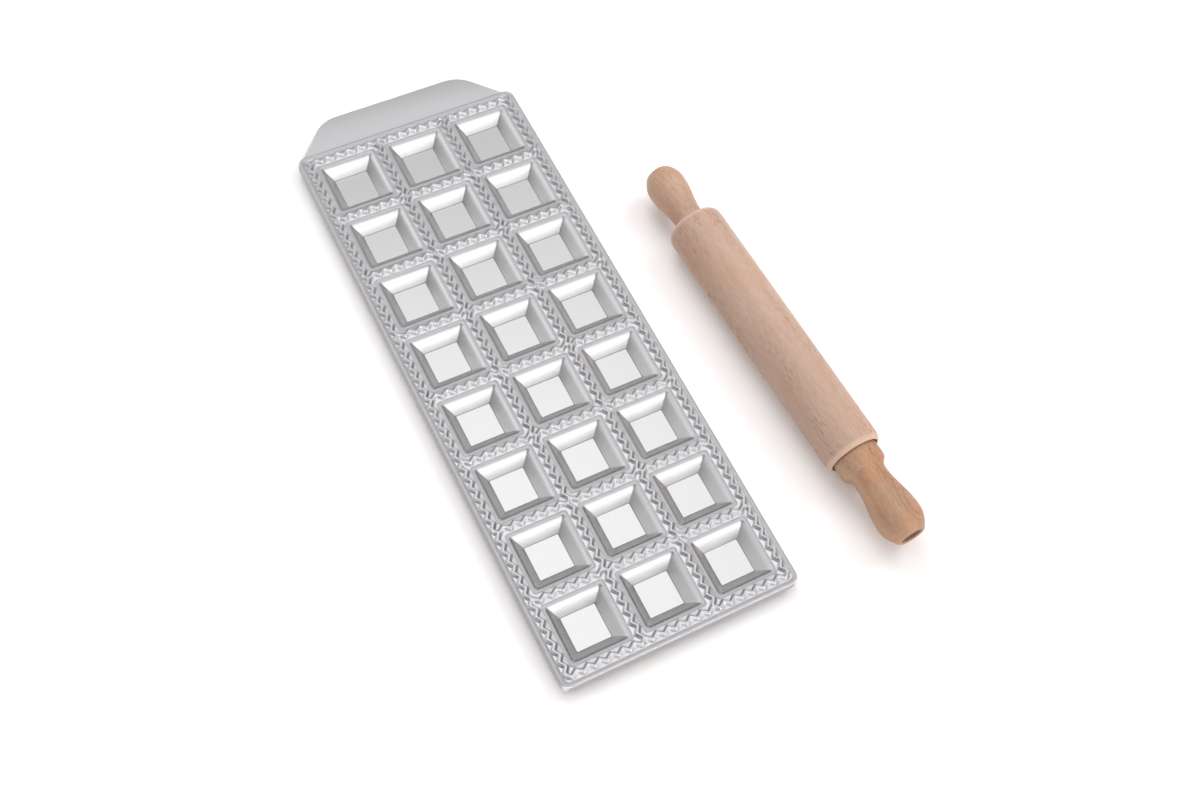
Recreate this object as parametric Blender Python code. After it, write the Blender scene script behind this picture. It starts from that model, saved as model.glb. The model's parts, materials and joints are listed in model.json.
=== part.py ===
"""Ravioli mould: a pressed aluminium tray of 24 pockets, with its turned wooden rolling pin beside it."""
import math

import bmesh
import bpy
from mathutils import Vector

MM = 0.001

# Pocket grid, seen from above: columns along X, rows along Y
COLUMNS = 3
ROWS = 8
PITCH = 36.0

# Sheet and heights, counted up from the underside of the pocket floors
SHEET = 1.0
LAND_TOP = 7.8
RIB_TOP = 9.4
RIM_TOP = 8.2
LIP_BOTTOM = 4.0
TAB_TOP = 6.0

# Inner section of a pocket from the mouth down: distance in from the rib line, height, corner radius
MOUTH_OVERRUN = (2.6, 8.0, 2.0)
POCKET = (
    (4.5, 7.7, 1.2),
    (5.2, 7.25, 0.9),
    (5.85, 6.5, 0.6),
    (9.3, 1.4, 0.4),
    (9.7, SHEET, 0.3),
)
SHELL_BURIED = 0.4
SHELL_CORNER_STEPS = 1
POCKET_CORNER_STEPS = 2

# Zigzag cutting rib
RIB_WAVES_PER_PITCH = 6.5
RIB_SWING = 1.05
RIB_TOP_HALF = 0.55
RIB_FOOT_HALF = 1.85
RIB_ROOT = 0.4

# Plate outline beyond the outermost ribs, raised rim and turned-down lip
SIDE_BORDER = 4.7
END_BORDER = 5.2
PLATE_HALF_X = COLUMNS * PITCH / 2 + SIDE_BORDER
PLATE_HALF_Y = ROWS * PITCH / 2 + END_BORDER
PLATE_CORNER = 4.5
PLATE_CORNER_STEPS = 6
RIM_INNER = 1.4
RIM_SLOPE = 0.35
RIM_ROUND = 0.7
INNER_CORNER = 1.0

# Hanging tab at the far end, set out from the plate's far corners
TAB_REACH = 18.9
TAB_ROOT_IN = 2.8
TAB_LAP = 0.6
TAB_SHOULDER_IN = 21.4
TAB_CORNER = 15.0
TAB_CORNER_STEPS = 8

# Rolling pin: where it lies beside the tray
PIN_TURN = math.radians(3.0)
PIN_STANDS_OFF = 48.0
PIN_MIDDLE_Y = -43.2

# Wooden parts of the pin
PIN_HALF = 110.9
ROLLER_R = 14.2
ROLLER_ROUND = 3.0
COUNTERBORE_R = 11.7
COUNTERBORE_DEPTH = 10.3
AXLE_R = 5.0
CLEARANCE = 0.3
COLLAR_R = 11.35
COLLAR_ROUND = 1.8
COLLAR_FILLET = 0.4
COLLAR_LENGTH = 11.05
COLLAR_STILL_IN = 2.5
AXLE_RECESS = 1.4
BLIND_END = 5.0
END_FLAT_R = 6.5
HOLE_ROUND = 0.6

# Outer profile of a grip: distance in from its end, and radius; the far grip is a little smaller
GRIP = (
    (36.55, 9.6),
    (34.95, 8.6),
    (32.55, 8.2),
    (29.15, 8.45),
    (25.15, 9.05),
    (21.15, 9.85),
    (17.15, 10.6),
    (13.15, 11.0),
    (9.95, 11.05),
    (7.15, 10.6),
    (4.55, 9.6),
    (2.35, 8.3),
    (0.75, 7.2),
)
NEAR_GRIP_SIZE = 1.0
FAR_GRIP_SIZE = 0.9

ROUND_STEPS = 40
GRIP_STEPS = 28
EDGE_STEPS = 3
WELD = 0.001


def clear_scene():
    for thing in list(bpy.data.objects):
        bpy.data.objects.remove(thing, do_unlink=True)


def material(name, colour, roughness, metallic):
    made = bpy.data.materials.new(name)
    made.use_nodes = True
    shader = made.node_tree.nodes["Principled BSDF"]
    shader.inputs["Base Color"].default_value = (*colour, 1.0)
    shader.inputs["Roughness"].default_value = roughness
    shader.inputs["Metallic"].default_value = metallic
    return made


def add_object(name, work, finish=None):
    """Turns a bmesh into a named object with its faces turned outward."""
    bmesh.ops.recalc_face_normals(work, faces=work.faces)
    if work.calc_volume(signed=True) < 0.0:
        bmesh.ops.reverse_faces(work, faces=work.faces)
    mesh = bpy.data.meshes.new(name)
    work.to_mesh(mesh)
    work.free()
    made = bpy.data.objects.new(name, mesh)
    bpy.context.collection.objects.link(made)
    if finish:
        mesh.materials.append(finish)
    return made


def join_shape(body, tool, operation):
    """Applies one exact Boolean to the body and takes the tool away."""
    step = body.modifiers.new("join", "BOOLEAN")
    step.operation = operation
    step.solver = "EXACT"
    step.object = tool
    bpy.context.view_layer.objects.active = body
    bpy.ops.object.modifier_apply(modifier=step.name)
    bpy.data.objects.remove(tool, do_unlink=True)


def rounded_ring(half_x, half_y, radius, height, steps, middle=(0.0, 0.0)):
    """Points of a rectangle with round corners, anticlockwise from above."""
    points = []
    for corner in range(4):
        sign_x = 1 if corner in (0, 3) else -1
        sign_y = 1 if corner in (0, 1) else -1
        centre_x = middle[0] + sign_x * (half_x - radius)
        centre_y = middle[1] + sign_y * (half_y - radius)
        for step in range(steps + 1):
            angle = math.radians(90.0) * (corner + step / steps)
            x = centre_x + radius * math.cos(angle)
            y = centre_y + radius * math.sin(angle)
            points.append(Vector((x, y, height)) * MM)
    return points


def add_stack(work, rings):
    """Adds a closed solid whose skin runs through the rings, one after another."""
    levels = [[work.verts.new(point) for point in ring] for ring in rings]
    for lower, upper in zip(levels, levels[1:]):
        for here in range(len(lower)):
            there = (here + 1) % len(lower)
            work.faces.new((lower[here], lower[there], upper[there], upper[here]))
    work.faces.new(reversed(levels[0]))
    work.faces.new(levels[-1])


def pocket_section():
    """The inner section as half width, height and corner radius."""
    return [(PITCH / 2 - inset, height, radius) for inset, height, radius in POCKET]


def offset_section(section, distance):
    """Moves a section outward by the sheet thickness, with mitred bends."""
    moved = []
    for here, (half, height, radius) in enumerate(section):
        normals = []
        for a, b in ((here - 1, here), (here, here + 1)):
            if a < 0 or b >= len(section):
                continue
            run = Vector((section[b][0] - section[a][0], section[b][1] - section[a][1]))
            run.normalize()
            normals.append(Vector((-run.y, run.x)))
        if here == len(section) - 1:
            normals.append(Vector((0.0, -1.0)))
        middle = sum(normals, Vector((0.0, 0.0))).normalized()
        reach = distance / middle.dot(normals[0])
        moved.append((half + middle.x * reach, height + middle.y * reach, radius + distance))
    return moved


def pocket_middles():
    for row in range(ROWS):
        for column in range(COLUMNS):
            x = (column - (COLUMNS - 1) / 2) * PITCH
            y = ((ROWS - 1) / 2 - row) * PITCH
            yield x, y


def pocket_solids(name, section, corner_steps):
    """One tapered solid under every pocket place, all in one object."""
    work = bmesh.new()
    for middle in pocket_middles():
        rings = []
        for half, height, radius in reversed(section):
            rings.append(rounded_ring(half, half, radius, height, corner_steps, middle))
        add_stack(work, rings)
    return add_object(name, work)


def pocket_shells():
    """The outside of the pressed pockets, with its top buried in the plate."""
    outer = offset_section(pocket_section(), SHEET)
    top = (outer[0][0] + SHELL_BURIED, LAND_TOP - SHELL_BURIED, outer[0][2])
    return pocket_solids("pocket_shells", [top] + outer, SHELL_CORNER_STEPS)


def pocket_hollows():
    """The inside of the pockets, run on past the mouth so that it opens them."""
    inset, height, radius = MOUTH_OVERRUN
    section = [(PITCH / 2 - inset, height, radius)] + pocket_section()
    return pocket_solids("pocket_hollows", section, POCKET_CORNER_STEPS)


def zigzag_band(work, middles, along_x):
    """Adds one rib: a tapered band that follows the zigzag line through the given points."""
    root = LAND_TOP - RIB_ROOT
    section = (
        (-RIB_FOOT_HALF, root),
        (RIB_FOOT_HALF, root),
        (RIB_FOOT_HALF, LAND_TOP),
        (RIB_TOP_HALF, RIB_TOP),
        (-RIB_TOP_HALF, RIB_TOP),
        (-RIB_FOOT_HALF, LAND_TOP),
    )
    loops = []
    for x, y in middles:
        loop = []
        for side, height in section:
            place = (x, y + side, height) if along_x else (x + side, y, height)
            loop.append(work.verts.new(Vector(place) * MM))
        loops.append(loop)
    count = len(section)
    for before, after in zip(loops, loops[1:]):
        for here in range(count):
            there = (here + 1) % count
            work.faces.new((before[here], before[there], after[there], after[here]))
    work.faces.new(reversed(loops[0]))
    work.faces.new(loops[-1])


def rib_line(start, length, across, first_side):
    """Turning points of a zigzag that begins a quarter wave before its first crossing."""
    half_wave = PITCH / RIB_WAVES_PER_PITCH / 2
    count = round(length / half_wave) + 1
    for step in range(count + 1):
        along = start - half_wave / 2 + step * half_wave
        side = first_side if step % 2 == 0 else -first_side
        yield along, across + side * RIB_SWING


def cross_ribs():
    """The nine zigzags between the rows, one more than there are rows."""
    work = bmesh.new()
    width = COLUMNS * PITCH
    for line in range(ROWS + 1):
        y = (ROWS / 2 - line) * PITCH
        side = 1 if line % 2 == 0 else -1
        zigzag_band(work, list(rib_line(-width / 2, width, y, side)), True)
    return add_object("cross_ribs", work)


def long_ribs():
    """The four zigzags between the columns; they share each crossing's slant with the cross ribs."""
    work = bmesh.new()
    length = ROWS * PITCH
    for line in range(COLUMNS + 1):
        x = (line - COLUMNS / 2) * PITCH
        side = -1 if line % 2 == 0 else 1
        turns = [(place, -along) for along, place in rib_line(-length / 2, length, x, side)]
        zigzag_band(work, turns, False)
    return add_object("long_ribs", work)


def plate(finish):
    """Flat land with a raised rim and a lip turned down all round."""
    eased = RIM_ROUND * (1 - math.cos(math.radians(45.0)))
    skin = (
        (RIM_INNER + RIM_SLOPE, LAND_TOP),
        (RIM_INNER, RIM_TOP),
        (RIM_ROUND, RIM_TOP),
        (eased, RIM_TOP - eased),
        (0.0, RIM_TOP - RIM_ROUND),
        (0.0, LIP_BOTTOM),
        (SHEET, LIP_BOTTOM),
        (SHEET, LAND_TOP - SHEET - RIM_ROUND),
        (SHEET + RIM_ROUND, LAND_TOP - SHEET),
    )
    rings = []
    for inset, height in skin:
        half_x = PLATE_HALF_X - inset
        half_y = PLATE_HALF_Y - inset
        radius = max(PLATE_CORNER - inset, INNER_CORNER)
        rings.append(rounded_ring(half_x, half_y, radius, height, PLATE_CORNER_STEPS))
    work = bmesh.new()
    add_stack(work, rings)
    return add_object("ravioli_tray", work, finish)


def tab_outline():
    """The tab's edge from its right root, round the far end, to its left root."""
    far_y = PLATE_HALF_Y + TAB_REACH
    root = Vector((PLATE_HALF_X - TAB_ROOT_IN, PLATE_HALF_Y - TAB_LAP))
    shoulder = Vector((PLATE_HALF_X - TAB_SHOULDER_IN, far_y))
    slant = (root - shoulder).normalized()
    turn = math.acos(slant.dot(Vector((1.0, 0.0))))
    reach = TAB_CORNER * math.tan(turn / 2)
    centre = Vector((shoulder.x - reach, far_y - TAB_CORNER))
    right = [root]
    for step in range(TAB_CORNER_STEPS + 1):
        angle = math.radians(90.0) - turn * (1 - step / TAB_CORNER_STEPS)
        right.append(centre + TAB_CORNER * Vector((math.cos(angle), math.sin(angle))))
    left = [Vector((-point.x, point.y)) for point in reversed(right)]
    return right + left


def tab():
    work = bmesh.new()
    rings = []
    for height in (TAB_TOP - SHEET, TAB_TOP):
        rings.append([Vector((point.x, point.y, height)) * MM for point in tab_outline()])
    add_stack(work, rings)
    return add_object("tab", work)


def lip_relief():
    """Block that takes the lip away where the tab leaves the plate."""
    work = bmesh.new()
    half_x = PLATE_HALF_X - PLATE_CORNER
    middle = (0.0, PLATE_HALF_Y)
    rings = []
    for height in (LIP_BOTTOM - SHEET, TAB_TOP - SHEET):
        rings.append(rounded_ring(half_x, 2 * SHEET, SHEET, height, 2, middle))
    add_stack(work, rings)
    return add_object("lip_relief", work)


def build_tray():
    finish = material("pressed_aluminium", (0.60, 0.60, 0.62), 0.34, 1.0)
    tray = plate(finish)
    join_shape(tray, lip_relief(), "DIFFERENCE")
    join_shape(tray, tab(), "UNION")
    join_shape(tray, pocket_shells(), "UNION")
    join_shape(tray, pocket_hollows(), "DIFFERENCE")
    join_shape(tray, cross_ribs(), "UNION")
    join_shape(tray, long_ribs(), "UNION")
    return tray


def quarter_round(radius, along, size):
    """Points of a quarter round on an outer edge, running away from the middle of the pin."""
    points = []
    for step in range(EDGE_STEPS + 1):
        angle = math.radians(90.0) * step / EDGE_STEPS
        drop = size * (1 - math.cos(angle))
        back = size * (1 - math.sin(angle))
        points.append((radius - drop, along - back))
    return points


def turned(name, profile, steps, finish, near_end=False):
    """Spins a closed profile of radius and distance once round the Y axis."""
    work = bmesh.new()
    sign = -1 if near_end else 1
    ring = [work.verts.new(Vector((r, sign * along, 0.0)) * MM) for r, along in profile]
    count = len(ring)
    edges = []
    for here in range(count):
        there = (here + 1) % count
        on_axis = profile[here][0] == 0.0 and profile[there][0] == 0.0
        if not on_axis:
            edges.append(work.edges.new((ring[here], ring[there])))
    bmesh.ops.spin(
        work,
        geom=ring + edges,
        cent=(0.0, 0.0, 0.0),
        axis=(0.0, 1.0, 0.0),
        angle=math.radians(360.0),
        steps=steps,
        use_merge=True,
    )
    bmesh.ops.remove_doubles(work, verts=work.verts, dist=WELD * MM)
    made = add_object(name, work, finish)
    for face in made.data.polygons:
        face.use_smooth = True
    return made


def collar_out(size):
    """Distance from the pin's middle to the outer edge of a collar."""
    return PIN_HALF - size * (GRIP[0][0] + COLLAR_FILLET)


def collar_in(size):
    return collar_out(size) - COLLAR_LENGTH


def roller_ends():
    """The roller is slid until its far counterbore meets the far collar."""
    far = collar_in(FAR_GRIP_SIZE) - CLEARANCE + COUNTERBORE_DEPTH
    near = -collar_in(NEAR_GRIP_SIZE) - COLLAR_STILL_IN
    return near, far


def roller_profile(length):
    """Half-profiles of both ends joined into one closed loop, bored and counterbored."""
    half = length / 2
    floor = half - COUNTERBORE_DEPTH
    end = quarter_round(ROLLER_R, half, ROLLER_ROUND)
    end += [
        (COUNTERBORE_R + HOLE_ROUND, half),
        (COUNTERBORE_R, half - HOLE_ROUND),
        (COUNTERBORE_R, floor),
        (AXLE_R + CLEARANCE, floor),
    ]
    return end + [(r, -along) for r, along in reversed(end)]


def handle_profile(size, through):
    """Collar, neck and swelling grip of one handle, with its bore."""
    inner = collar_in(size)
    bore = AXLE_R + CLEARANCE
    outer = [(COLLAR_R - HOLE_ROUND, inner), (COLLAR_R, inner + HOLE_ROUND)]
    outer += quarter_round(COLLAR_R, collar_out(size), COLLAR_ROUND)
    outer += [(size * radius, PIN_HALF - size * inset) for inset, radius in GRIP]
    outer.append((END_FLAT_R, PIN_HALF))
    if through:
        hole = [
            (bore + HOLE_ROUND, PIN_HALF),
            (bore, PIN_HALF - HOLE_ROUND),
            (bore, inner),
        ]
    else:
        hole = [
            (0.0, PIN_HALF),
            (0.0, PIN_HALF - BLIND_END),
            (bore, PIN_HALF - BLIND_END),
            (bore, inner),
        ]
    return outer + hole


def axle_profile():
    near = PIN_HALF - AXLE_RECESS
    far = PIN_HALF - BLIND_END - CLEARANCE
    return [(0.0, -near), (AXLE_R, -near), (AXLE_R, far), (0.0, far)]


def build_pin():
    """Lays the pin on the table beside the tray, its roller slid toward the far end."""
    roller_wood = material("pale_beech", (0.58, 0.40, 0.30), 0.6, 0.0)
    near_wood = material("beech_near_grip", (0.47, 0.28, 0.19), 0.5, 0.0)
    far_wood = material("beech_far_grip", (0.47, 0.28, 0.19), 0.5, 0.0)
    axle_wood = material("beech_dowel", (0.20, 0.11, 0.07), 0.7, 0.0)
    near_face, far_face = roller_ends()
    roller = turned("roller", roller_profile(far_face - near_face), ROUND_STEPS, roller_wood)
    axle = turned("axle", axle_profile(), GRIP_STEPS, axle_wood)
    near = turned("near_handle", handle_profile(NEAR_GRIP_SIZE, True), GRIP_STEPS, near_wood, True)
    far = turned("far_handle", handle_profile(FAR_GRIP_SIZE, False), GRIP_STEPS, far_wood)
    middle = Vector((PLATE_HALF_X + PIN_STANDS_OFF, PIN_MIDDLE_Y, ROLLER_R))
    along = Vector((-math.sin(PIN_TURN), math.cos(PIN_TURN), 0.0))
    for piece in (roller, axle, near, far):
        piece.rotation_euler.z = PIN_TURN
        slid = (near_face + far_face) / 2 if piece is roller else 0.0
        piece.location = (middle + along * slid) * MM
    return [roller, axle, near, far]


def centre_set(pieces):
    """Moves the set so that its outline is centred over the origin and stands on zero."""
    bpy.context.view_layer.update()
    corners = [p.matrix_world @ v.co for p in pieces for v in p.data.vertices]
    low = [min(c[k] for c in corners) for k in range(3)]
    high = [max(c[k] for c in corners) for k in range(3)]
    shift = Vector((-(low[0] + high[0]) / 2, -(low[1] + high[1]) / 2, -low[2]))
    for piece in pieces:
        piece.location += shift


clear_scene()
centre_set([build_tray(), *build_pin()])
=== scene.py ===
import json
import math

import bmesh
import bpy
from mathutils import Matrix, Vector


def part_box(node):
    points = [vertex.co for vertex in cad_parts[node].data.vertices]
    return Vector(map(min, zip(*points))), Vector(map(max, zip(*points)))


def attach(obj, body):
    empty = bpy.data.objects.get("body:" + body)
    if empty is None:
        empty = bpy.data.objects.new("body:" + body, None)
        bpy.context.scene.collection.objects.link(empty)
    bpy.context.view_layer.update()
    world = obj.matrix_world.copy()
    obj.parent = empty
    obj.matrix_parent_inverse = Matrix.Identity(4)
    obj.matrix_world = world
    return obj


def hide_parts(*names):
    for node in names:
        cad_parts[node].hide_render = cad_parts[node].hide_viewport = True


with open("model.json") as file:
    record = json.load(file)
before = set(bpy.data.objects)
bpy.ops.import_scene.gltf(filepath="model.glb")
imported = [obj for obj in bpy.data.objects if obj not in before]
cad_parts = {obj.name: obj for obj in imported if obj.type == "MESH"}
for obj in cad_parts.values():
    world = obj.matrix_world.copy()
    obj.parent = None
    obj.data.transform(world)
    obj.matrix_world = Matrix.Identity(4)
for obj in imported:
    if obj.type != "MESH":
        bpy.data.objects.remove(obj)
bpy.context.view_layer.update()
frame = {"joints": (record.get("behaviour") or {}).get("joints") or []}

MM = 0.001

# Pressed tray
# One sheet of aluminium, pressed in one stroke: pockets, zigzag cutting ribs, a raised rim and a
# hanging tab. It is bare metal with the satin skin of rolled sheet, burnished along the rib tops.
tray_low, tray_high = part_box("ravioli_tray")
TAB_FAR_Y = 168.1
TRAY_MIDDLE = Vector(((tray_low.x + tray_high.x) / 2, tray_high.y - TAB_FAR_Y * MM, tray_low.z))
# sizes in millimetres, from the middle of the pocket grid and up from the table
PITCH = 36.0
COLUMNS = 3
ROWS = 8
PIT_TOP = 7.5
LAND_TOP = 7.8
RIB_TOP = 9.4
SHEET = 1.0
PLATE_HALF_X = 58.7
PLATE_HALF_Y = 149.2
PLATE_CORNER = 4.5
TAB_TOP = 6.0
LIP_BOTTOM = 4.0
# two points nearer than this count as one
JOIN_WITHIN = 0.001


def rounded_face(work, half_x, half_y, radius, height, corner_steps):
    """A flat face with round corners, lying level at the height given."""
    before = set(work.faces)
    corners = bmesh.ops.create_grid(work, x_segments=1, y_segments=1, size=1.0)["verts"]
    bmesh.ops.scale(work, vec=(half_x * MM, half_y * MM, 1.0), verts=corners)
    bmesh.ops.translate(work, vec=(0.0, 0.0, height * MM), verts=corners)
    bmesh.ops.bevel(
        work,
        geom=corners,
        offset=radius * MM,
        offset_type="OFFSET",
        affect="VERTICES",
        segments=corner_steps,
        profile=0.5,
        material=-1,
    )
    return next(face for face in work.faces if face not in before)


def skin_through(work, outlines, corner_steps):
    """A closed skin that runs through level outlines of half width, half length, corner and height."""
    faces = [rounded_face(work, *outline, corner_steps) for outline in outlines]
    for before, after in zip(faces, faces[1:]):
        bmesh.ops.bridge_loops(work, edges=list(before.edges) + list(after.edges))
    bmesh.ops.delete(work, geom=faces[1:-1], context="FACES_ONLY")


def points_of(parts):
    """The points among the parts that a mesh step gives back."""
    return [part for part in parts if isinstance(part, bmesh.types.BMVert)]


def shape_from(name, work):
    """Makes an object of the mesh, with its faces pointing outwards and shaded smooth."""
    bmesh.ops.recalc_face_normals(work, faces=work.faces)
    if work.calc_volume(signed=True) < 0.0:
        bmesh.ops.reverse_faces(work, faces=work.faces)
    for face in work.faces:
        face.smooth = True
    mesh = bpy.data.meshes.new(name)
    work.to_mesh(mesh)
    work.free()
    made = bpy.data.objects.new(name, mesh)
    bpy.context.scene.collection.objects.link(made)
    return made


def press(body, tool, operation):
    """Joins a shape to the sheet, or presses its hollow into it."""
    step = body.modifiers.new("press", "BOOLEAN")
    step.operation = operation
    step.solver = "MANIFOLD"
    step.object = tool
    bpy.context.view_layer.objects.active = body
    bpy.ops.object.modifier_apply(modifier=step.name)
    bpy.data.objects.remove(tool, do_unlink=True)


def plate_shape():
    """The flat land with its raised round rim and the lip turned down from it."""
    corner_steps = 10
    least_corner = 1.2
    skin = (
        (3.0, PIT_TOP), (2.6, 7.57), (2.2, 7.74), (1.8, 7.93), (1.4, 8.05), (1.05, 8.08), (0.7, 8.0),
        (0.4, 7.76), (0.22, 7.35), (0.14, 6.8), (0.0, 4.5), (0.0, LIP_BOTTOM + 0.15),
        (0.15, LIP_BOTTOM), (SHEET - 0.15, LIP_BOTTOM), (SHEET, LIP_BOTTOM + 0.15),
        (SHEET + 0.1, 5.9), (SHEET + 0.4, 6.3), (SHEET + 1.0, PIT_TOP - SHEET),
    )
    outlines = []
    for inset, height in skin:
        radius = max(PLATE_CORNER - inset, least_corner)
        outlines.append((PLATE_HALF_X - inset, PLATE_HALF_Y - inset, radius, height))
    work = bmesh.new()
    skin_through(work, outlines, corner_steps)
    return shape_from("ravioli_tray_pressed", work)


def tab_shape():
    """The hanging tab: a trapezium of sheet with two wide round corners and softened edges."""
    root_x = 55.9
    root_y = 148.6
    shoulder_x = 37.3
    corner_radius = 6.5
    edge_round = 0.22
    work = bmesh.new()
    corners = []
    for x, y in ((-root_x, root_y), (root_x, root_y), (shoulder_x, TAB_FAR_Y), (-shoulder_x, TAB_FAR_Y)):
        corners.append(work.verts.new(Vector((x, y, TAB_TOP - SHEET)) * MM))
    work.faces.new(corners)
    bmesh.ops.bevel(
        work,
        geom=corners[2:],
        offset=corner_radius * MM,
        offset_type="OFFSET",
        affect="VERTICES",
        segments=16,
        profile=0.5,
        material=-1,
    )
    grown = bmesh.ops.extrude_face_region(work, geom=work.faces[:])["geom"]
    bmesh.ops.translate(work, vec=(0.0, 0.0, SHEET * MM), verts=points_of(grown))
    level = JOIN_WITHIN * MM
    rims = [edge for edge in work.edges if abs(edge.verts[0].co.z - edge.verts[1].co.z) < level]
    bmesh.ops.bevel(
        work,
        geom=rims,
        offset=edge_round * MM,
        offset_type="OFFSET",
        affect="EDGES",
        segments=2,
        profile=0.5,
        material=-1,
    )
    return shape_from("tab", work)


def lip_relief_shape():
    """The place where the lip gives way to the tab."""
    half_x = 54.2
    half_y = 2.2
    radius = 0.6
    corner_steps = 2
    heights = (LIP_BOTTOM - 1.0, TAB_TOP - SHEET)
    work = bmesh.new()
    skin_through(work, [(half_x, half_y, radius, height) for height in heights], corner_steps)
    bmesh.ops.translate(work, vec=(0.0, PLATE_HALF_Y * MM, 0.0), verts=work.verts)
    return shape_from("lip_relief", work)


def all_pockets(name, section):
    """One pocket's shape from its section of half width, corner and height, set out on the grid."""
    corner_steps = 4
    work = bmesh.new()
    outlines = [(half, half, corner, height) for half, corner, height in section]
    skin_through(work, outlines, corner_steps)
    pattern = list(work.verts) + list(work.edges) + list(work.faces)
    for row in range(ROWS):
        for column in range(COLUMNS):
            place = ((column - (COLUMNS - 1) / 2) * PITCH, ((ROWS - 1) / 2 - row) * PITCH, 0.0)
            copied = bmesh.ops.duplicate(work, geom=pattern)["geom"]
            bmesh.ops.translate(work, vec=Vector(place) * MM, verts=points_of(copied))
    bmesh.ops.delete(work, geom=points_of(pattern), context="VERTS")
    return shape_from(name, work)


POCKET_OUTSIDE = (
    (8.71, 0.8, 0.0), (9.15, 0.95, 0.22), (9.5, 1.1, 0.8), (12.95, 1.6, 5.9), (13.35, 1.9, 6.35),
    (13.9, 2.2, 6.6), (14.9, 2.4, 7.1), (15.3, 1.4, 7.5), (15.22, 1.3, 7.68), (15.05, 1.2, LAND_TOP),
)
POCKET_INSIDE = (
    (8.3, 0.3, SHEET), (8.48, 0.35, 1.08), (8.66, 0.4, 1.34), (11.4, 0.5, 5.4), (11.72, 0.6, 5.84),
    (12.04, 0.75, 6.26), (12.35, 0.9, 6.62), (12.67, 1.05, 6.94), (13.0, 1.2, 7.2),
    (13.3, 1.35, 7.42), (13.87, 1.6, 7.7), (14.45, 1.9, 7.79), (14.7, 2.1, 8.2),
)

WAVES_PER_PITCH = 6.5
RIB_SWING = 1.05
TURN_EASE = 0.14
RIB_OUTSIDE = (
    (-1.8, 7.0), (1.8, 7.0), (1.8, 7.5), (1.58, 7.55), (1.38, 7.74), (1.2, 8.1), (0.98, 8.7),
    (0.8, 9.1), (0.6, 9.31), (0.36, 9.385), (0.0, RIB_TOP), (-0.36, 9.385), (-0.6, 9.31),
    (-0.8, 9.1), (-0.98, 8.7), (-1.2, 8.1), (-1.38, 7.74), (-1.58, 7.55), (-1.8, 7.5),
)
RIB_INSIDE = ((-1.0, 6.2), (1.0, 6.2), (0.9, 6.6), (0.12, 8.35), (-0.12, 8.35), (-0.9, 6.6))


def zigzag_path(length, first_side):
    """Places along one rib, its turns eased, from a quarter wave before its first crossing."""
    half_wave = PITCH / WAVES_PER_PITCH / 2
    count = round(length / half_wave) + 1
    turns = []
    for step in range(count + 1):
        side = first_side if step % 2 == 0 else -first_side
        turns.append(Vector((-length / 2 - half_wave / 2 + step * half_wave, side * RIB_SWING, 0.0)))
    path = [turns[0]]
    for before, here, after in zip(turns, turns[1:], turns[2:]):
        enter = here.lerp(before, TURN_EASE)
        leave = here.lerp(after, TURN_EASE)
        path += [enter, (enter + leave) / 4 + here / 2, leave]
    path.append(turns[-1])
    return path


def sweep_band(work, section, path):
    """Draws the section along the zigzag, step by step, keeping it square to the rib's line."""
    start = path[0]
    rim = [work.verts.new(Vector((start.x, start.y + side, height)) * MM) for side, height in section]
    first_end = work.faces.new(rim)
    end = first_end
    for here, there in zip(path, path[1:]):
        grown = bmesh.ops.extrude_face_region(work, geom=[end])["geom"]
        if end is not first_end:
            bmesh.ops.delete(work, geom=[end], context="FACES_ONLY")
        bmesh.ops.translate(work, vec=(there - here) * MM, verts=points_of(grown))
        end = next(part for part in grown if isinstance(part, bmesh.types.BMFace))


def all_ribs(name, section, lengthwise):
    """Every zigzag of one direction; neighbours lean opposite ways, as the crossings ask."""
    lines = COLUMNS + 1 if lengthwise else ROWS + 1
    length = (ROWS if lengthwise else COLUMNS) * PITCH
    whole = bmesh.new()
    for first_line, first_side in ((0, 1), (1, -1)):
        band = bmesh.new()
        sweep_band(band, section, zigzag_path(length, first_side))
        if lengthwise:
            # a quarter turn and a mirror, so that both directions share one slant at every crossing
            quarter_turn = Matrix.Rotation(math.radians(-90), 3, "Z")
            bmesh.ops.rotate(band, cent=(0, 0, 0), matrix=quarter_turn, verts=band.verts)
            bmesh.ops.scale(band, vec=(-1.0, 1.0, 1.0), verts=band.verts)
        shape = bpy.data.meshes.new("band")
        band.to_mesh(shape)
        band.free()
        for line in range(first_line, lines, 2):
            across = (lines - 1) / 2 * PITCH - line * PITCH
            before = set(whole.verts)
            whole.from_mesh(shape)
            added = [vert for vert in whole.verts if vert not in before]
            step = (-across, 0.0, 0.0) if lengthwise else (0.0, across, 0.0)
            bmesh.ops.translate(whole, vec=Vector(step) * MM, verts=added)
        bpy.data.meshes.remove(shape)
    return shape_from(name, whole)


FLAT_WITHIN = 0.01
SHARP_BEND_DEGREES = 38


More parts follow.
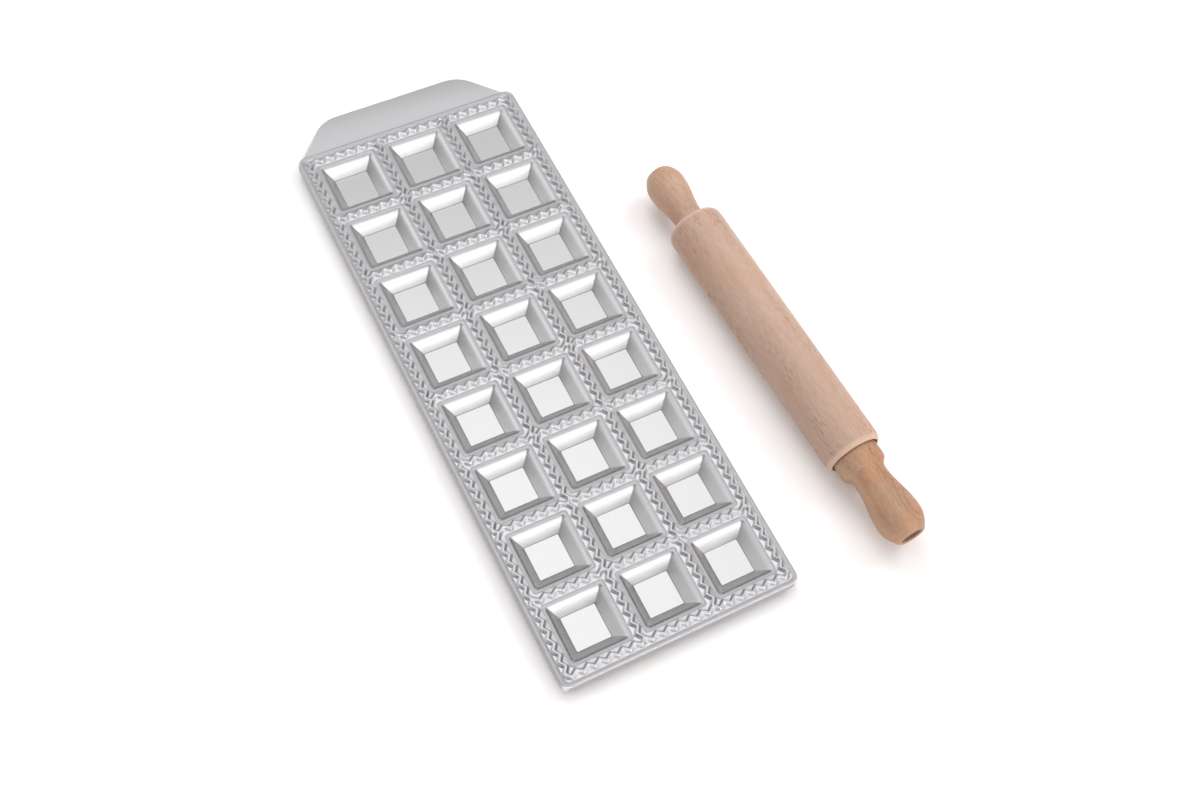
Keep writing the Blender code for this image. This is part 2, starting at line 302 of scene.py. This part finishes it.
def build_tray():
    """Presses the plate step by step, joins the seams, and leaves sharp bends and floors crisp."""
    tray = plate_shape()
    press(tray, lip_relief_shape(), "DIFFERENCE")
    press(tray, tab_shape(), "UNION")
    press(tray, all_pockets("pocket_shells", POCKET_OUTSIDE), "UNION")
    press(tray, all_pockets("pocket_hollows", POCKET_INSIDE), "DIFFERENCE")
    press(tray, all_ribs("cross_ribs", RIB_OUTSIDE, False), "UNION")
    press(tray, all_ribs("long_ribs", RIB_OUTSIDE, True), "UNION")
    press(tray, all_ribs("cross_grooves", RIB_INSIDE, False), "DIFFERENCE")
    press(tray, all_ribs("long_grooves", RIB_INSIDE, True), "DIFFERENCE")
    work = bmesh.new()
    work.from_mesh(tray.data)
    # pressing leaves points that all but touch; joining them can drop a face, which is made anew
    bmesh.ops.remove_doubles(work, verts=work.verts, dist=JOIN_WITHIN * MM)
    opened = [edge for edge in work.edges if len(edge.link_faces) == 1]
    bmesh.ops.holes_fill(work, edges=opened, sides=0)
    bmesh.ops.translate(work, vec=TRAY_MIDDLE, verts=work.verts)
    floor_height = TRAY_MIDDLE.z + SHEET * MM
    for edge in work.edges:
        off_floor = max(abs(vert.co.z - floor_height) for vert in edge.verts) > FLAT_WITHIN * MM
        edge.smooth = off_floor and edge.calc_face_angle(math.pi) < math.radians(SHARP_BEND_DEGREES)
    for face in work.faces:
        face.smooth = True
        face.material_index = 0
    work.to_mesh(tray.data)
    work.free()
    # pressing leaves empty places for a finish, so they go before the sheet gets its own
    tray.data.materials.clear()
    return tray


def add_node(tree, kind, settings=None, **inputs):
    """Adds a node, sets its settings, and fills or links its inputs; i2 is its input number 2."""
    made = tree.nodes.new(kind)
    for name, value in (settings or {}).items():
        setattr(made, name, value)
    for name, value in inputs.items():
        numbered = name[0] == "i" and name[1:].isdigit()
        socket = made.inputs[int(name[1:]) if numbered else name.replace("_", " ")]
        if isinstance(value, bpy.types.NodeSocket):
            tree.links.new(value, socket)
        else:
            socket.default_value = value
    return made


def worked_out(tree, operation, *values):
    """The result of one sum, such as MULTIPLY, over the values in their order."""
    inputs = {f"i{number}": value for number, value in enumerate(values)}
    return add_node(tree, "ShaderNodeMath", {"operation": operation}, **inputs).outputs[0]


def number_mix(tree, share, first, second):
    """A number that goes from the first to the second as the share goes from 0 to 1."""
    mix = add_node(tree, "ShaderNodeMix", {"data_type": "FLOAT"}, i0=share, i2=first, i3=second)
    return mix.outputs[0]


def colour_mix(tree, share, first, second, way="MIX"):
    """A colour that goes from the first to the second as the share goes from 0 to 1."""
    mix = add_node(tree, "ShaderNodeMix", {"data_type": "RGBA", "blend_type": way}, i0=share,
                   i6=first, i7=second)
    return mix.outputs[2]


def new_material(name):
    """A new material with its node tree and its shader."""
    made = bpy.data.materials.new(name)
    made.use_nodes = True
    return made, made.node_tree, made.node_tree.nodes["Principled BSDF"]


def height_band(tree, height, low, high, fade):
    """1 where the height lies between low and high, in millimetres, fading out beyond."""
    rise = add_node(tree, "ShaderNodeMapRange", Value=height, From_Min=(low - fade) * MM,
                    From_Max=low * MM).outputs[0]
    fall = add_node(tree, "ShaderNodeMapRange", Value=height, From_Min=high * MM,
                    From_Max=(high + fade) * MM, To_Min=1.0, To_Max=0.0).outputs[0]
    return worked_out(tree, "MULTIPLY", rise, fall)


SHEET_DULL = (0.74, 0.735, 0.755, 1.0)
SHEET_BRIGHT = (0.80, 0.795, 0.815, 1.0)
# a band's lowest height, highest height and fade in millimetres, then its roughness and colour
WALL_BAND = (1.3, 6.6, 0.9, 0.45, (0.79, 0.785, 0.79, 1.0))
FLOOR_BAND = (-1.0, 1.15, 0.25, 0.27, (0.80, 0.80, 0.81, 1.0))
# painted shade: a dark band along the crease where each pocket floor bends up into its walls
FLOOR_CREASE_SHADE_BAND = (1.03, 1.28, 0.03, 0.5, (0.40, 0.40, 0.41, 1.0))
PIT_BAND = (7.3, 7.56, 0.1, 0.3, (0.76, 0.755, 0.775, 1.0))
RIB_TOP_BAND = (8.9, 12.0, 0.6, 0.34, (0.76, 0.76, 0.77, 1.0))
LIP_ROUGHNESS = 0.6
# painted shade: the lip's dark colour
LIP_PAINTED_SHADE_COLOUR = (0.46, 0.455, 0.47, 1.0)
LIP_FADE_START = -0.9
LIP_FADE_END = -0.2
TAB_ROUGHNESS = 0.62
# painted light: the tab is the same sheet as the land, coloured far lighter
TAB_PAINTED_LIGHT_COLOUR = (0.97, 0.965, 0.98, 1.0)
TAB_FADE = 0.2
DRAWN_LINES_SHARE = 0.6


def satin_aluminium():
    """Rolled sheet: dull on the land, lip and tab, smoother where the die pressed or rubbed it; painted
    shade on the lip and floor creases, painted light on the tab.
    """
    made, tree, shader = new_material("satin_aluminium")
    place = add_node(tree, "ShaderNodeTexCoord").outputs["Object"]
    spot = add_node(tree, "ShaderNodeSeparateXYZ", Vector=place).outputs
    cloud = add_node(tree, "ShaderNodeTexNoise", Vector=place, Scale=55.0, Detail=4.0,
                     Roughness=0.55).outputs[0]
    grain = add_node(tree, "ShaderNodeTexNoise", Vector=place, Scale=1900.0, Detail=3.0,
                     Roughness=0.6).outputs[0]
    drawn = add_node(tree, "ShaderNodeMapping", Vector=place, Scale=(1500.0, 60.0, 300.0)).outputs[0]
    lines = add_node(tree, "ShaderNodeTexNoise", Vector=drawn, Scale=1.0, Detail=2.0).outputs[0]
    tone = add_node(tree, "ShaderNodeMapRange", Value=cloud, From_Min=0.3, From_Max=0.7).outputs[0]
    skin = colour_mix(tree, tone, SHEET_DULL, SHEET_BRIGHT)
    rough = add_node(tree, "ShaderNodeMapRange", Value=cloud, From_Min=0.3, From_Max=0.7,
                     To_Min=0.52, To_Max=0.58).outputs[0]
    # each band lies over the ones before it
    for low, high, fade, finish, colour in (
        WALL_BAND, FLOOR_BAND, FLOOR_CREASE_SHADE_BAND, PIT_BAND, RIB_TOP_BAND,
    ):
        band = height_band(tree, spot["Z"], low, high, fade)
        rough = number_mix(tree, band, rough, finish)
        skin = colour_mix(tree, band, skin, colour)
    # the lip outside the rim is duller than the land: rougher, and darkened with painted shade
    from_middle = add_node(tree, "ShaderNodeVectorMath", {"operation": "SUBTRACT"}, i0=place,
                           i1=TRAY_MIDDLE).outputs[0]
    sides = add_node(tree, "ShaderNodeVectorMath", {"operation": "ABSOLUTE"}, i0=from_middle).outputs[0]
    past_plate = add_node(tree, "ShaderNodeVectorMath", {"operation": "SUBTRACT"}, i0=sides,
                          i1=Vector((PLATE_HALF_X, PLATE_HALF_Y, 0.0)) * MM).outputs[0]
    reach = add_node(tree, "ShaderNodeSeparateXYZ", Vector=past_plate).outputs
    nearest = worked_out(tree, "MAXIMUM", reach["X"], reach["Y"])
    lip = add_node(tree, "ShaderNodeMapRange", Value=nearest, From_Min=LIP_FADE_START * MM,
                   From_Max=LIP_FADE_END * MM).outputs[0]
    rough = number_mix(tree, lip, rough, LIP_ROUGHNESS)
    skin = colour_mix(tree, lip, skin, LIP_PAINTED_SHADE_COLOUR)
    # the tab is rougher than the land, and painted light makes it much lighter
    tab = add_node(tree, "ShaderNodeMapRange", Value=spot["Y"],
                   From_Min=TRAY_MIDDLE.y + (PLATE_HALF_Y - TAB_FADE) * MM,
                   From_Max=TRAY_MIDDLE.y + (PLATE_HALF_Y + TAB_FADE) * MM).outputs[0]
    rough = number_mix(tree, tab, rough, TAB_ROUGHNESS)
    skin = colour_mix(tree, tab, skin, TAB_PAINTED_LIGHT_COLOUR)
    tree.links.new(rough, shader.inputs["Roughness"])
    tree.links.new(skin, shader.inputs["Base Color"])
    shader.inputs["Metallic"].default_value = 1.0
    both = worked_out(tree, "MULTIPLY_ADD", lines, DRAWN_LINES_SHARE, grain)
    bump = add_node(tree, "ShaderNodeBump", Height=both, Strength=0.10, Distance=0.05 * MM)
    tree.links.new(bump.outputs[0], shader.inputs["Normal"])
    return made


tray = build_tray()
tray.data.materials.append(satin_aluminium())
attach(tray, "tray")
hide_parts("ravioli_tray")

# Roller
# The plain barrel that presses the dough: turned from pale beech, sanded and left bare, bored for
# its dowel and counterbored at both ends for the collars of the grips.
spin = next(joint for joint in frame["joints"] if joint["name"] == "roller_spin")
PIN_MIDDLE = Vector(spin["pos_m"])
PIN_TURN = math.atan2(-spin["axis"][0], spin["axis"][1])
ROLLER_R = 14.2
ROLLER_HALF = 70.99
ROLLER_SLID = 5.5975
BORE_R = 5.3
COUNTERBORE_R = 11.7
COUNTERBORE_FLOOR = ROLLER_HALF - 10.3
LATHE_STEPS = 48


def turn_on_lathe(name, profile, slide=0.0):
    """Spins a closed profile of radius and distance round the pin's axis and lays it in place."""
    work = bmesh.new()
    rim = [work.verts.new(Vector((radius, along + slide, 0.0)) * MM) for radius, along in profile]
    edges = []
    for here, there in zip(rim, rim[1:] + rim[:1]):
        # an edge that lies on the axis has nothing to turn
        if max(here.co.x, there.co.x) > JOIN_WITHIN * MM:
            edges.append(work.edges.new((here, there)))
    bmesh.ops.spin(
        work,
        geom=rim + edges,
        cent=(0.0, 0.0, 0.0),
        axis=(0.0, 1.0, 0.0),
        angle=math.radians(360.0),
        steps=LATHE_STEPS,
        use_merge=True,
    )
    bmesh.ops.remove_doubles(work, verts=work.verts, dist=JOIN_WITHIN * MM)
    place = Matrix.Translation(PIN_MIDDLE) @ Matrix.Rotation(PIN_TURN, 4, "Z")
    bmesh.ops.transform(work, matrix=place, verts=work.verts)
    made = shape_from(name, work)
    soften = made.modifiers.new("turned_smooth", "SUBSURF")
    soften.levels = 2
    soften.render_levels = 2
    return made


def mirrored(profile):
    """The same profile at the pin's other end."""
    return [(radius, -along) for radius, along in reversed(profile)]


RING_STRETCH = (1.0, 0.05, 1.0)
RING_WAVER = 2.2
LATE_WOOD_POWER = 4.0
BLUSH_COLOUR = (1.04, 0.84, 0.66, 1.0)


def beech_figure():
    """Turned beech: broad bands, fine fibres, faint rings, short dark ray flecks and warmer patches."""
    group = bpy.data.node_groups.new("beech_figure", "ShaderNodeTree")
    for name, kind in (
        ("Vector", "Vector"), ("Pale", "Color"), ("Dark", "Color"), ("Pith", "Vector"),
        ("Ring Width", "Float"), ("Ring Depth", "Float"), ("Fleck Depth", "Float"), ("Blush", "Float"),
    ):
        group.interface.new_socket(name, in_out="INPUT", socket_type="NodeSocket" + kind)
    for name, kind in (("Color", "Color"), ("Roughness", "Float"), ("Height", "Float")):
        group.interface.new_socket(name, in_out="OUTPUT", socket_type="NodeSocket" + kind)
    given = group.nodes.new("NodeGroupInput").outputs
    result = group.nodes.new("NodeGroupOutput").inputs

    def drawn_noise(across, along, detail):
        """Noise drawn out along the grain; a larger number makes it finer that way."""
        drawn = add_node(group, "ShaderNodeMapping", Vector=given["Vector"], Scale=(across, along, across))
        return add_node(group, "ShaderNodeTexNoise", Vector=drawn.outputs[0], Scale=1.0,
                        Detail=detail).outputs[0]

    def part_of(value, low, high, share=1.0):
        """0 up to the low value, and the share from the high one on."""
        return add_node(group, "ShaderNodeMapRange", Value=value, From_Min=low, From_Max=high,
                        To_Min=0.0, To_Max=share).outputs[0]

    # the rings count outward from the pith, waver, and are worn away in places
    flat = add_node(group, "ShaderNodeVectorMath", {"operation": "MULTIPLY"}, i0=given["Vector"],
                    i1=RING_STRETCH).outputs[0]
    away = add_node(group, "ShaderNodeVectorMath", {"operation": "SUBTRACT"}, i0=flat,
                    i1=given["Pith"]).outputs[0]
    reach = add_node(group, "ShaderNodeVectorMath", {"operation": "LENGTH"}, i0=away).outputs["Value"]
    count = worked_out(group, "DIVIDE", reach, given["Ring Width"])
    waver = drawn_noise(across=60.0, along=22.0, detail=2.0)
    bent = worked_out(group, "MULTIPLY_ADD", waver, RING_WAVER, count)
    late_wood = worked_out(group, "POWER", worked_out(group, "FRACT", bent), LATE_WOOD_POWER)
    kept = part_of(drawn_noise(across=85.0, along=38.0, detail=2.0), low=0.44, high=0.60)
    rings = worked_out(group, "MULTIPLY", late_wood, kept)
    rings = worked_out(group, "MULTIPLY", rings, given["Ring Depth"])

    patches = part_of(drawn_noise(across=90.0, along=18.0, detail=1.0), low=0.42, high=0.62)
    flecks = part_of(drawn_noise(across=1500.0, along=300.0, detail=1.0), low=0.56, high=0.68)
    flecks = worked_out(group, "MULTIPLY", flecks, patches)
    flecks = worked_out(group, "MULTIPLY", flecks, given["Fleck Depth"])
    bands = part_of(drawn_noise(across=130.0, along=14.0, detail=2.0), low=0.30, high=0.70, share=0.26)
    fibres = part_of(drawn_noise(across=1800.0, along=190.0, detail=3.0), low=0.35, high=0.70, share=0.28)
    tone = worked_out(group, "ADD", rings, bands)
    tone = worked_out(group, "ADD", tone, fibres)
    tone = add_node(group, "ShaderNodeMath", {"use_clamp": True}, i0=tone, i1=flecks).outputs[0]

    colour = colour_mix(group, tone, given["Pale"], given["Dark"])
    warm = part_of(drawn_noise(across=75.0, along=45.0, detail=1.0), low=0.45, high=0.68)
    warm = worked_out(group, "MULTIPLY", warm, given["Blush"])
    blushed = colour_mix(group, warm, colour, BLUSH_COLOUR, "MULTIPLY")
    group.links.new(blushed, result["Color"])
    rough = add_node(group, "ShaderNodeMapRange", Value=tone, To_Min=0.46, To_Max=0.62)
    group.links.new(rough.outputs[0], result["Roughness"])
    group.links.new(worked_out(group, "SUBTRACT", 1.0, tone), result["Height"])
    return group


BEECH = beech_figure()
PALE_END_COLOUR = (0.70, 0.52, 0.40, 1.0)
PALE_END_FADE = 1.5
PALE_END_SHARE = 0.55
PAST_THE_PIN = 1000.0


def beech(name, pale, dark, pith, ring_width, ring_depth, fleck_depth, blush, pale_from=PAST_THE_PIN):
    """Bare sanded beech, its grain running along the pin; paler beyond a given distance from the roller's
    middle.
    """
    made, tree, shader = new_material(name)
    place = add_node(tree, "ShaderNodeTexCoord").outputs["Object"]
    local = add_node(tree, "ShaderNodeMapping", {"vector_type": "TEXTURE"}, Vector=place,
                     Location=PIN_MIDDLE, Rotation=(0.0, 0.0, PIN_TURN)).outputs[0]
    along = add_node(tree, "ShaderNodeSeparateXYZ", Vector=local).outputs["Y"]
    figure = add_node(tree, "ShaderNodeGroup", {"node_tree": BEECH}, Vector=local, Pale=(*pale, 1.0),
                      Dark=(*dark, 1.0), Pith=Vector(pith) * MM, Ring_Width=ring_width * MM,
                      Ring_Depth=ring_depth, Fleck_Depth=fleck_depth, Blush=blush).outputs
    # the colour turns paler beyond pale_from, towards each end
    from_middle = worked_out(tree, "SUBTRACT", along, ROLLER_SLID * MM)
    reach = worked_out(tree, "ABSOLUTE", from_middle)
    pale_end = add_node(tree, "ShaderNodeMapRange", Value=reach, From_Min=pale_from * MM,
                      From_Max=(pale_from + PALE_END_FADE) * MM, To_Min=0.0, To_Max=PALE_END_SHARE)
    skin = colour_mix(tree, pale_end.outputs[0], figure["Color"], PALE_END_COLOUR)
    tree.links.new(skin, shader.inputs["Base Color"])
    tree.links.new(figure["Roughness"], shader.inputs["Roughness"])
    bump = add_node(tree, "ShaderNodeBump", Height=figure["Height"], Strength=0.25, Distance=0.08 * MM)
    tree.links.new(bump.outputs[0], shader.inputs["Normal"])
    shader.inputs["Specular IOR Level"].default_value = 0.3
    return made


ROLLER_END = [
    (ROLLER_R, 54.0), (ROLLER_R, 65.6), (ROLLER_R, 67.4), (14.02, 68.8), (13.45, 70.1), (12.75, 70.8),
    (12.5, ROLLER_HALF), (12.25, 70.95), (12.05, 70.7), (11.95, 70.1), (COUNTERBORE_R, 66.0),
    (COUNTERBORE_R, COUNTERBORE_FLOOR + 0.4), (COUNTERBORE_R, COUNTERBORE_FLOOR),
    (COUNTERBORE_R - 0.4, COUNTERBORE_FLOOR), (BORE_R + 0.3, COUNTERBORE_FLOOR),
    (BORE_R, COUNTERBORE_FLOOR), (BORE_R, COUNTERBORE_FLOOR - 0.4),
]
roller = turn_on_lathe("turned_roller", ROLLER_END + mirrored(ROLLER_END), ROLLER_SLID)
roller.data.materials.append(beech(
    "pale_beech",
    pale=(0.56, 0.405, 0.325),
    dark=(0.34, 0.205, 0.14),
    pith=(34.0, 0.0, 46.0),
    ring_width=4.3,
    ring_depth=0.12,
    fleck_depth=0.7,
    blush=0.3,
    pale_from=68.0,
))
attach(roller, "roller")
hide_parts("roller")

# Dowel
# A straight beech dowel glued into both grips; the roller turns on it. Its sawn end shows dark in
# the hole at the near end.
PIN_HALF = 110.89
DOWEL_R = 5.0
DOWEL_NEAR = -PIN_HALF + 1.42
DOWEL_FAR = PIN_HALF - 5.32
axle = turn_on_lathe("dowel", [
    (0.0, DOWEL_NEAR), (DOWEL_R - 0.3, DOWEL_NEAR), (DOWEL_R, DOWEL_NEAR + 0.08),
    (DOWEL_R, DOWEL_NEAR + 0.48), (DOWEL_R, DOWEL_FAR - 0.48), (DOWEL_R, DOWEL_FAR - 0.08),
    (DOWEL_R - 0.3, DOWEL_FAR), (0.0, DOWEL_FAR),
])
axle.data.materials.append(beech(
    "dowel_end_grain",
    pale=(0.13, 0.068, 0.036),
    dark=(0.07, 0.035, 0.018),
    pith=(2.0, 0.0, 9.0),
    ring_width=1.1,
    ring_depth=0.7,
    fleck_depth=0.5,
    blush=0.0,
))
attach(axle, "pin")
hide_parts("axle")

# Grips
# Two turned beech grips glued on the dowel, each with a round collar that runs in the roller's
# counterbore, a slim neck and a swelling body. The near one is bored through, the far one blind.
COLLAR_R = 11.25
COLLAR_LENGTH = 11.05
GRIP_LENGTH = 36.95
FAR_GRIP_SIZE = 0.9
BORE_MIDDLE = 90.0
BLIND_BOTTOM = PIN_HALF - 5.0


def grip_outside(size):
    """From the collar's inner face out along the grip: radius, distance from the pin's middle."""
    collar_out = PIN_HALF - GRIP_LENGTH * size
    collar_in = collar_out - COLLAR_LENGTH
    collar = [
        (BORE_R + 0.4, collar_in), (COLLAR_R - 0.4, collar_in), (COLLAR_R, collar_in + 0.1),
        (COLLAR_R, collar_in + 0.6), (COLLAR_R, collar_out - 3.5), (COLLAR_R, collar_out - 1.9),
        (COLLAR_R - 0.3, collar_out - 0.8), (COLLAR_R - 1.0, collar_out - 0.1),
    ]
    body = []
    for radius, inset in (
        (9.6, 36.5), (8.85, 35.6), (8.45, 34.4), (8.2, 32.5), (8.45, 29.1), (9.05, 25.1), (9.85, 21.1),
        (10.6, 17.1), (11.0, 13.1), (11.05, 9.9), (10.65, 7.1), (9.7, 4.5), (8.4, 2.3), (7.3, 0.75),
    ):
        body.append((radius * size, PIN_HALF - inset * size))
    return collar + body


def through_bore(inner):
    """From the rounded mouth of the hole in to the collar's inner face."""
    return [
        (6.7, PIN_HALF), (6.1, PIN_HALF), (5.6, PIN_HALF - 0.12), (BORE_R, PIN_HALF - 0.6),
        (BORE_R, PIN_HALF - 2.0), (BORE_R, BORE_MIDDLE), (BORE_R, inner + 0.4), (BORE_R, inner),
    ]


def blind_bore(inner):
    """Over the closed end, then from the bottom of the hole in to the collar's inner face."""
    return [
        (5.3, PIN_HALF - 0.25), (3.6, PIN_HALF), (2.0, PIN_HALF), (0.0, PIN_HALF), (0.0, BLIND_BOTTOM),
        (BORE_R - 0.4, BLIND_BOTTOM), (BORE_R, BLIND_BOTTOM), (BORE_R, BLIND_BOTTOM - 0.5),
        (BORE_R, BORE_MIDDLE), (BORE_R, inner + 0.4), (BORE_R, inner),
    ]


near_outside = grip_outside(1.0)
near_grip = turn_on_lathe("near_grip", mirrored(near_outside + through_bore(near_outside[0][1])))
near_grip.data.materials.append(beech(
    "near_grip_beech",
    pale=(0.535, 0.35, 0.24),
    dark=(0.25, 0.12, 0.065),
    pith=(-24.0, -5.0, -32.0),
    ring_width=1.1,
    ring_depth=0.32,
    fleck_depth=0.6,
    blush=0.55,
))
far_outside = grip_outside(FAR_GRIP_SIZE)
far_grip = turn_on_lathe("far_grip", far_outside + blind_bore(far_outside[0][1]))
far_grip.data.materials.append(beech(
    "far_grip_beech",
    pale=(0.58, 0.40, 0.30),
    dark=(0.33, 0.19, 0.12),
    pith=(-20.0, 5.0, -34.0),
    ring_width=1.3,
    ring_depth=0.25,
    fleck_depth=0.2,
    blush=0.3,
))
for grip, node, wood in ((near_grip, "near_handle", "beech_near_grip"),
                         (far_grip, "far_handle", "beech_far_grip")):
    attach(grip, "pin")
    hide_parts(node)

# Table
# A white table that runs away on all sides, keeping the soft shadows of the set. It grows whiter
# away from the middle, until it meets the white of the room.
TABLE_REACH = 6.0
TABLE_WHITE = (0.965, 0.96, 0.965, 1.0)
work = bmesh.new()
bmesh.ops.create_grid(work, x_segments=2, y_segments=2, size=TABLE_REACH)
table = shape_from("white_table", work)
white, tree, shader = new_material("white_table")
shader.inputs["Base Color"].default_value = TABLE_WHITE
shader.inputs["Roughness"].default_value = 0.9
shader.inputs["Specular IOR Level"].default_value = 0.0
rays = add_node(tree, "ShaderNodeLightPath").outputs
seen = worked_out(tree, "MAXIMUM", rays["Is Camera Ray"], rays["Is Glossy Ray"])
place = add_node(tree, "ShaderNodeTexCoord").outputs["Object"]
away = add_node(tree, "ShaderNodeVectorMath", {"operation": "LENGTH"}, i0=place).outputs["Value"]
paler = add_node(tree, "ShaderNodeMapRange", {"interpolation_type": "SMOOTHSTEP"}, Value=away,
                 From_Min=0.35, From_Max=1.6, To_Min=0.05, To_Max=0.9).outputs[0]
glow = add_node(tree, "ShaderNodeEmission", Strength=worked_out(tree, "MULTIPLY", seen, paler))
both = add_node(tree, "ShaderNodeAddShader", i0=shader.outputs[0], i1=glow.outputs[0])
tree.links.new(both.outputs[0], tree.nodes["Material Output"].inputs["Surface"])
table.data.materials.append(white)

# Light
# Wide soft lamps to the right, beyond and to the left, and a studio room with pale panels overhead,
# beyond, on both sides and along the near side. The metal shows the panels in its walls and floors.
LAMP_COLOUR = (0.98, 1.0, 1.025)


def soft_lamp(name, place, size, power):
    """A round lamp that points at the middle of the table."""
    lamp = bpy.data.lights.new(name, "AREA")
    lamp.shape = "DISK"
    lamp.size = size
    lamp.energy = power
    lamp.color = LAMP_COLOUR
    made = bpy.data.objects.new(name, lamp)
    made.location = place
    made.rotation_euler = (-Vector(place)).to_track_quat("-Z", "Y").to_euler()
    bpy.context.scene.collection.objects.link(made)
    return made


# the metal doesn't show the lamps, only the panels
for name, place, size, power in (
    ("right_lamp", (0.95, 0.1, 0.95), 0.8, 6.4),
    ("far_lamp", (0.1, 0.9, 1.1), 0.9, 6.3),
    ("left_lamp", (-0.8, 0.2, 1.0), 0.9, 2.0),
):
    soft_lamp(name, place, size, power).visible_glossy = False

room = bpy.data.worlds.new("studio_room")
bpy.context.scene.world = room
room.use_nodes = True
tree = room.node_tree
sky = tree.nodes["Background"]
toward = add_node(tree, "ShaderNodeTexCoord").outputs["Generated"]


def soft_panel(turn, rise, inner, outer, strength):
    """A round panel at an angle clockwise from the far side and an angle up from the table.

    It is fully lit within the inner angle of its middle, and has faded out at the outer one.
    """
    turn, rise = math.radians(turn), math.radians(rise)
    middle = (math.sin(turn) * math.cos(rise), math.cos(turn) * math.cos(rise), math.sin(rise))
    facing = add_node(tree, "ShaderNodeVectorMath", {"operation": "DOT_PRODUCT"}, i0=toward,
                      i1=middle).outputs["Value"]
    return add_node(tree, "ShaderNodeMapRange", {"interpolation_type": "SMOOTHSTEP"}, Value=facing,
                    From_Min=math.cos(math.radians(outer)), From_Max=math.cos(math.radians(inner)),
                    To_Min=0.0, To_Max=strength).outputs[0]


# turn, rise, inner and outer angle in degrees, then strength
OVERHEAD = ((36.0, 80.0, 20.0, 27.0, 1.2), (225.0, 76.0, 8.0, 25.0, 0.25))
BEYOND = ((24.0, 52.0, 6.0, 20.0, 0.18), (0.0, 40.0, 8.0, 30.0, 0.3), (50.0, 36.0, 8.0, 25.0, 0.76))
AT_THE_SIDES = ((135.0, 40.0, 8.0, 30.0, 1.1), (310.0, 40.0, 8.0, 35.0, 0.82))
ALONG_THE_NEAR_SIDE = (
    (150.0, 3.0, 8.0, 22.0, 4.9), (180.0, 3.0, 8.0, 22.0, 3.5), (175.0, 30.0, 8.0, 32.0, 1.05),
    (213.0, 6.0, 6.0, 20.0, 3.3),
)
LOW_ON_THE_LEFT = ((300.0, 12.0, 8.0, 40.0, 0.75),)
panels = OVERHEAD + BEYOND + AT_THE_SIDES + ALONG_THE_NEAR_SIDE + LOW_ON_THE_LEFT
light = soft_panel(*panels[0])
for panel in panels[1:]:
    light = worked_out(tree, "ADD", light, soft_panel(*panel))

# the camera sees a plain white room, and the light that falls on the pieces is a little warmer
ROOM_WARM = (1.0, 0.955, 0.93, 1.0)
ROOM_WHITE = (1.0, 0.995, 1.0, 1.0)
rays = add_node(tree, "ShaderNodeLightPath").outputs
tree.links.new(number_mix(tree, rays["Is Camera Ray"], light, 1.0), sky.inputs["Strength"])
seen = worked_out(tree, "MAXIMUM", rays["Is Camera Ray"], rays["Is Glossy Ray"])
tree.links.new(colour_mix(tree, seen, ROOM_WARM, ROOM_WHITE), sky.inputs["Color"])

# Camera
# The photograph's viewpoint, found from the grid of pocket floors.
CAMERA_PLACE = (-182.81, -295.58, 617.41)
CAMERA_TURN = (28.0322, -5.5218, -27.1041)
view = bpy.data.cameras.new("camera")
view.sensor_width = 36.0
view.lens = 44.966
view.clip_start = 0.01
camera = bpy.data.objects.new("camera", view)
camera.location = TRAY_MIDDLE + Vector(CAMERA_PLACE) * MM
camera.rotation_euler = [math.radians(angle) for angle in CAMERA_TURN]
bpy.context.scene.collection.objects.link(camera)
bpy.context.scene.camera = camera
bpy.context.scene.view_settings.view_transform = "Standard"
